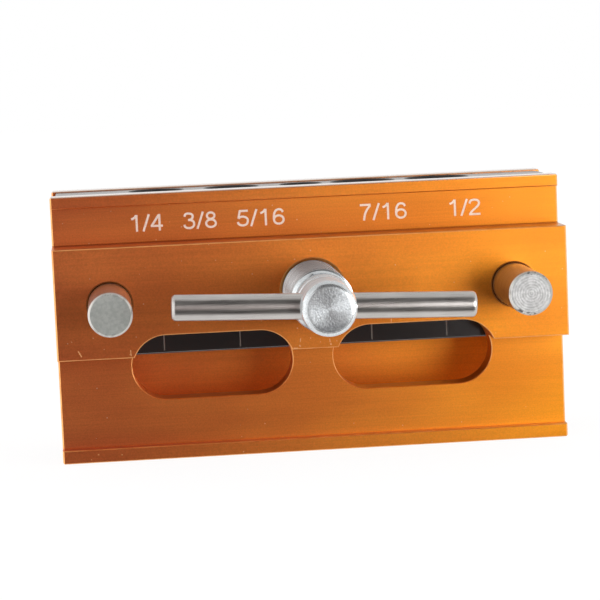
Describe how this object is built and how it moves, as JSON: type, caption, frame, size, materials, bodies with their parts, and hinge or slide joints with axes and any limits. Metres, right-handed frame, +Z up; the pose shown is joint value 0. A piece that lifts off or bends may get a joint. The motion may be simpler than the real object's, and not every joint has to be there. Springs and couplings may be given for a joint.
{
  "type": "self-centering doweling jig",
  "caption": "Clamping drill guide: two long jaws driven apart and together by a screw with opposed threads, with bored bushings in a block between them.",
  "frame": {"origin": "centre of the bounding box on the plane of the jaws' lower edges, which the jig stands on", "axes": "+X along the jaws to the right as seen from the handle, +Y from the handle to the rear jaw, +Z up, in the direction a drill bit is withdrawn"},
  "size_m": [0.1524, 0.1376, 0.0794],
  "materials": {
    "jaw": "satin orange anodised",
    "block": "satin black anodised",
    "rod": "ground, turned ends",
    "screw": "cut thread, oiled",
    "bar": "polished",
    "bushing": "hardened, ground bore",
    "set_screw": "black oxide"
  },
  "bodies": {
    "block_body": {"centre_block": "block", "guide_rod_left": "rod", "guide_rod_right": "rod", "bushing_small_outer": "bushing", "bushing_small_inner": "bushing", "bushing_large_inner": "bushing", "bushing_large_outer": "bushing", "dog_point_screw": "set_screw", "rod_grub_screw_left": "set_screw", "rod_grub_screw_right": "set_screw"},
    "screw_body": {"lead_screw": "screw", "handle_bar": "bar"},
    "front_jaw_body": {"front_jaw": "jaw"},
    "rear_jaw_body": {"rear_jaw": "jaw"}
  },
  "joints": [
    {"name": "screw_turn", "type": "hinge", "parent": "block_body", "child": "screw_body", "pos_m": [0, 0.01162, 0.049], "axis": [0, -1, 0], "range_deg": [0, 3429]},
    {"name": "front_jaw_slide", "type": "slide", "parent": "block_body", "child": "front_jaw_body", "axis": [0, -1, 0], "range_m": [0, 0.01905]},
    {"name": "rear_jaw_slide", "type": "slide", "parent": "block_body", "child": "rear_jaw_body", "axis": [0, 1, 0], "range_m": [0, 0.01905]}
  ],
  "couplings": [
    {"joint": "screw_turn", "follows": "front_jaw_slide", "rad_per_m": 3141.6},
    {"joint": "rear_jaw_slide", "follows": "front_jaw_slide", "ratio": 1}
  ]
}
